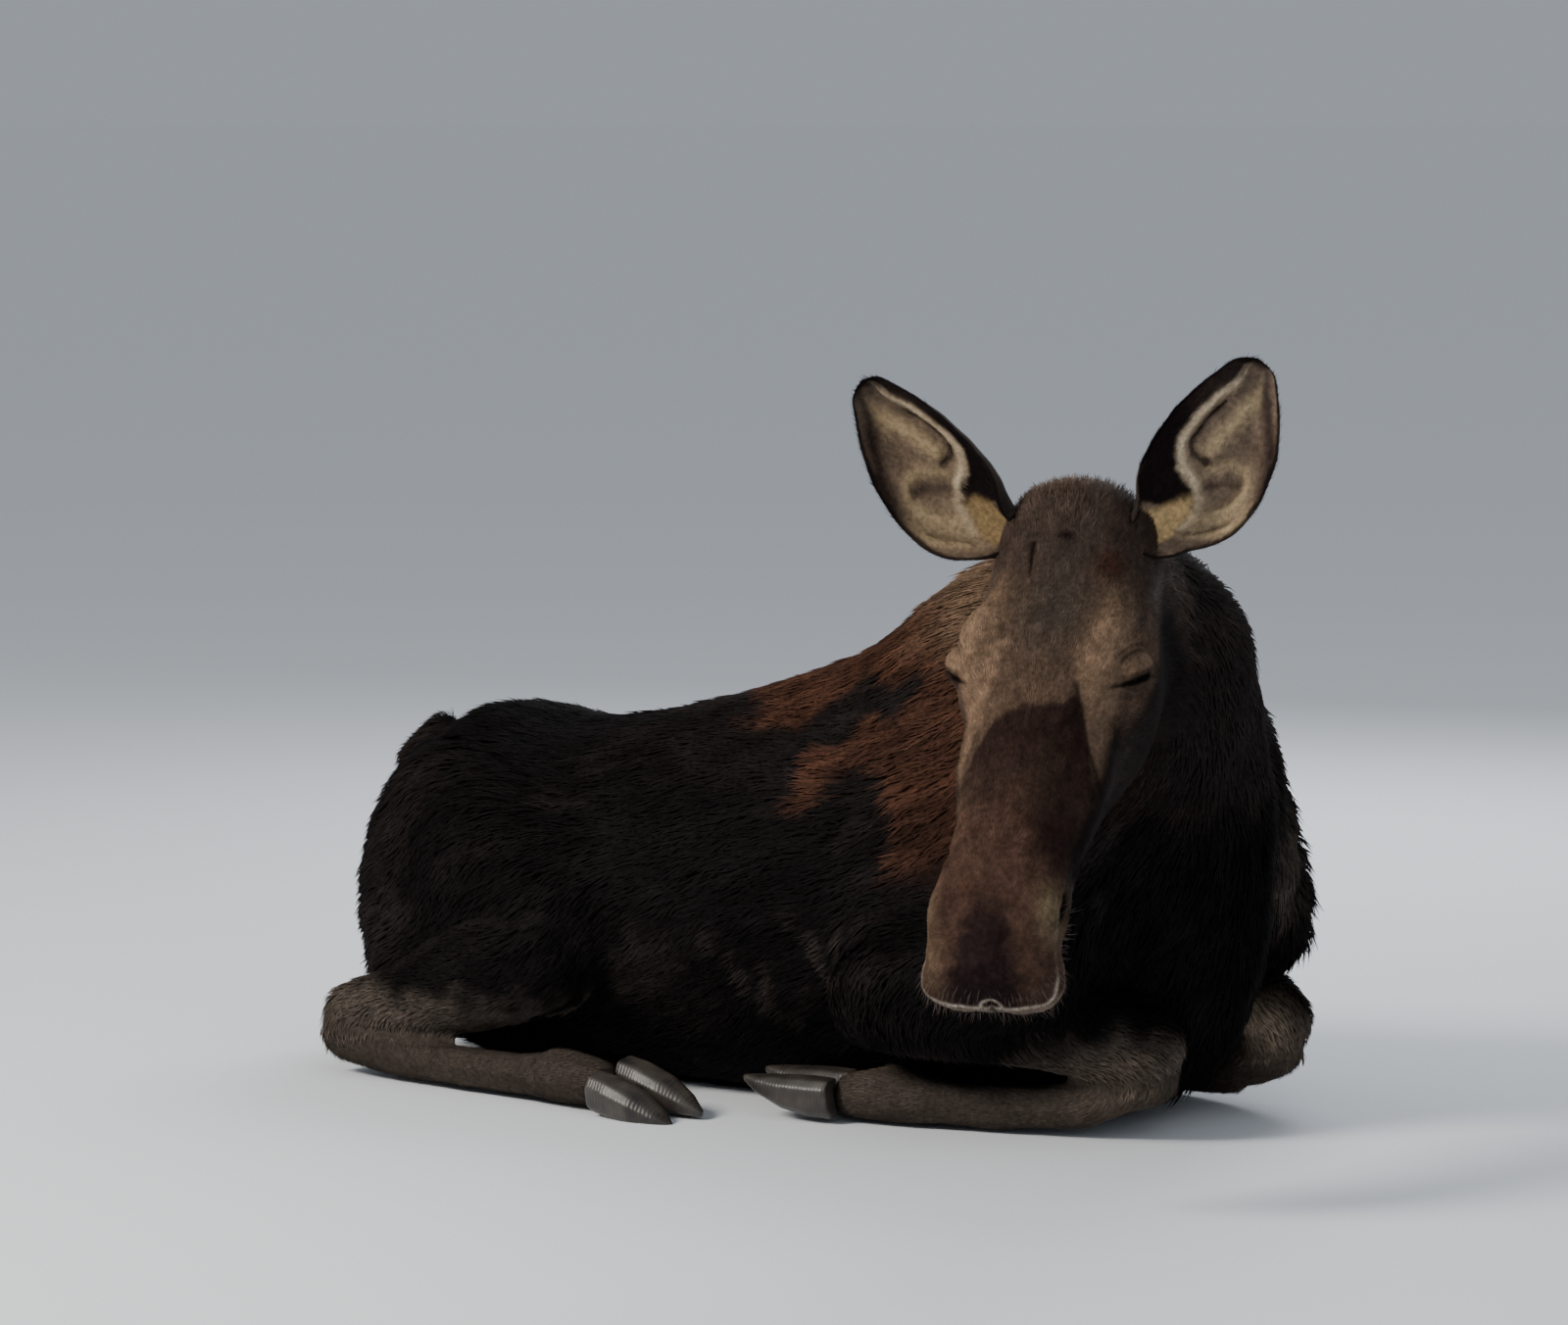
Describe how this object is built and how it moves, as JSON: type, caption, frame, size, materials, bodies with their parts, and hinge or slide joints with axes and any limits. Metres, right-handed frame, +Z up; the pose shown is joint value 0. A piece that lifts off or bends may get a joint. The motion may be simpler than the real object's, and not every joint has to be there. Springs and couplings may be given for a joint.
{
  "type": "moose",
  "caption": "Life-size cow moose bedded on her brisket, legs folded under her, long head turned to her right with the ears raised.",
  "frame": {"origin": "on the floor, at the middle of the bottom of the whole animal's bounding box", "axes": "+X is the way the chest points, from rump to brisket, and is the longest extent; +Y is the animal's left side; +Z is up from the floor it lies on"},
  "size_m": [1.6852, 1.2678, 1.0306],
  "materials": {
    "face_coat": "short grey-brown winter fur",
    "body_coat": "long blackish-brown winter fur, browner on the neck",
    "leg_coat": "short grey-brown fur",
    "ear_coat": "buff fur with a dark rim",
    "eye": "wet dark brown",
    "hoof": "dark horn, satin"
  },
  "bodies": {
    "root": {"ear_left": "ear_coat", "ear_right": "ear_coat", "eye_left": "eye", "eye_right": "eye", "foreleg_left_cannon": "leg_coat", "foreleg_left_forearm": "leg_coat", "foreleg_left_hoof_inner": "hoof", "foreleg_left_hoof_outer": "hoof", "foreleg_right_cannon": "leg_coat", "foreleg_right_forearm": "leg_coat", "foreleg_right_hoof_inner": "hoof", "foreleg_right_hoof_outer": "hoof", "head": "face_coat", "hindleg_left_cannon": "leg_coat", "hindleg_left_hoof_inner": "hoof", "hindleg_left_hoof_outer": "hoof", "hindleg_left_shank": "leg_coat", "hindleg_left_thigh": "body_coat", "hindleg_right_cannon": "leg_coat", "hindleg_right_hoof_inner": "hoof", "hindleg_right_hoof_outer": "hoof", "hindleg_right_shank": "leg_coat", "hindleg_right_thigh": "body_coat", "neck": "body_coat", "tail": "body_coat", "torso": "body_coat"}
  },
  "joints": []
}
